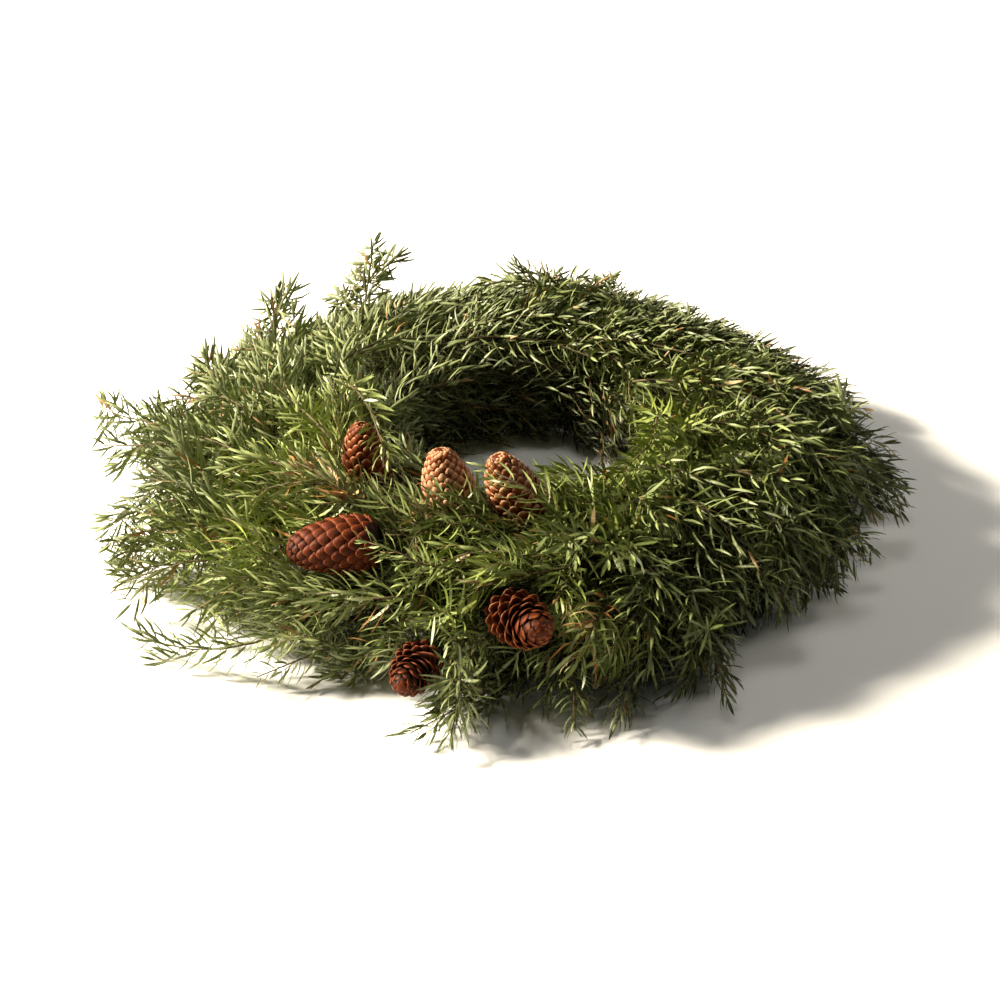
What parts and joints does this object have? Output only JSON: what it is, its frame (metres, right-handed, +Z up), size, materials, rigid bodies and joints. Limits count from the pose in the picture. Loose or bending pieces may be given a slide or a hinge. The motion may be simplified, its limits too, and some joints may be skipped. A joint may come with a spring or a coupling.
{
  "type": "fresh evergreen wreath",
  "caption": "Fresh evergreen wreath lying flat: a wire-bound straw ring that carries leafy conifer sprays laid clockwise, with wired brown cones at the front left.",
  "frame": {"origin": "on the surface it lies on, under the middle of the whole spread of the foliage", "axes": "+Z up out of the wreath's face, +X to the right and +Y to the back as seen with the cones at the front left"},
  "size_m": [0.576, 0.582, 0.1246],
  "materials": {
    "straw": "dry bundled straw, matte, mostly hidden in the shade of the foliage",
    "wire": "thin dark green lacquered florist's wire, satin",
    "cone_scales": "dry woody scales, red-brown with paler bleached rims, satin",
    "foliage_outer": "fresh leathery needles, waxy sheen, mid green to grey green with lighter midribs",
    "foliage_top": "fresh leathery needles, waxy sheen, yellow green young growth among mid green",
    "foliage_inner": "fresh leathery needles, waxy sheen, darker green in the shade of the hole"
  },
  "bodies": {
    "root": {"straw_ring": "straw", "binding_wire": "wire", "cone_1": "cone_scales", "cone_2": "cone_scales", "cone_3": "cone_scales", "cone_4": "cone_scales", "cone_5": "cone_scales", "cone_6": "cone_scales", "cone_1_pick": "wire", "cone_2_pick": "wire", "cone_3_pick": "wire", "cone_4_pick": "wire", "cone_5_pick": "wire", "cone_6_pick": "wire", "skirt_spray_01": "foliage_outer", "skirt_spray_02": "foliage_outer", "skirt_spray_03": "foliage_outer", "skirt_spray_04": "foliage_outer", "skirt_spray_05": "foliage_outer", "skirt_spray_06": "foliage_outer", "skirt_spray_07": "foliage_outer", "skirt_spray_08": "foliage_outer", "skirt_spray_09": "foliage_outer", "skirt_spray_10": "foliage_outer", "skirt_spray_11": "foliage_outer", "skirt_spray_12": "foliage_outer", "shoulder_spray_01": "foliage_outer", "shoulder_spray_02": "foliage_outer", "shoulder_spray_03": "foliage_outer", "shoulder_spray_04": "foliage_outer", "shoulder_spray_05": "foliage_outer", "shoulder_spray_06": "foliage_outer", "shoulder_spray_07": "foliage_outer", "shoulder_spray_08": "foliage_outer", "shoulder_spray_09": "foliage_outer", "shoulder_spray_10": "foliage_outer", "shoulder_spray_11": "foliage_outer", "shoulder_spray_12": "foliage_outer", "crown_spray_01": "foliage_top", "crown_spray_02": "foliage_top", "crown_spray_03": "foliage_top", "crown_spray_04": "foliage_top", "crown_spray_05": "foliage_top", "crown_spray_06": "foliage_top", "crown_spray_07": "foliage_top", "crown_spray_08": "foliage_top", "collar_spray_01": "foliage_inner", "collar_spray_02": "foliage_inner", "collar_spray_03": "foliage_inner", "collar_spray_04": "foliage_inner", "collar_spray_05": "foliage_inner", "collar_spray_06": "foliage_inner", "lining_spray_01": "foliage_inner", "lining_spray_02": "foliage_inner", "lining_spray_03": "foliage_inner", "lining_spray_04": "foliage_inner", "lining_spray_05": "foliage_inner", "lining_spray_06": "foliage_inner"}
  },
  "joints": []
}
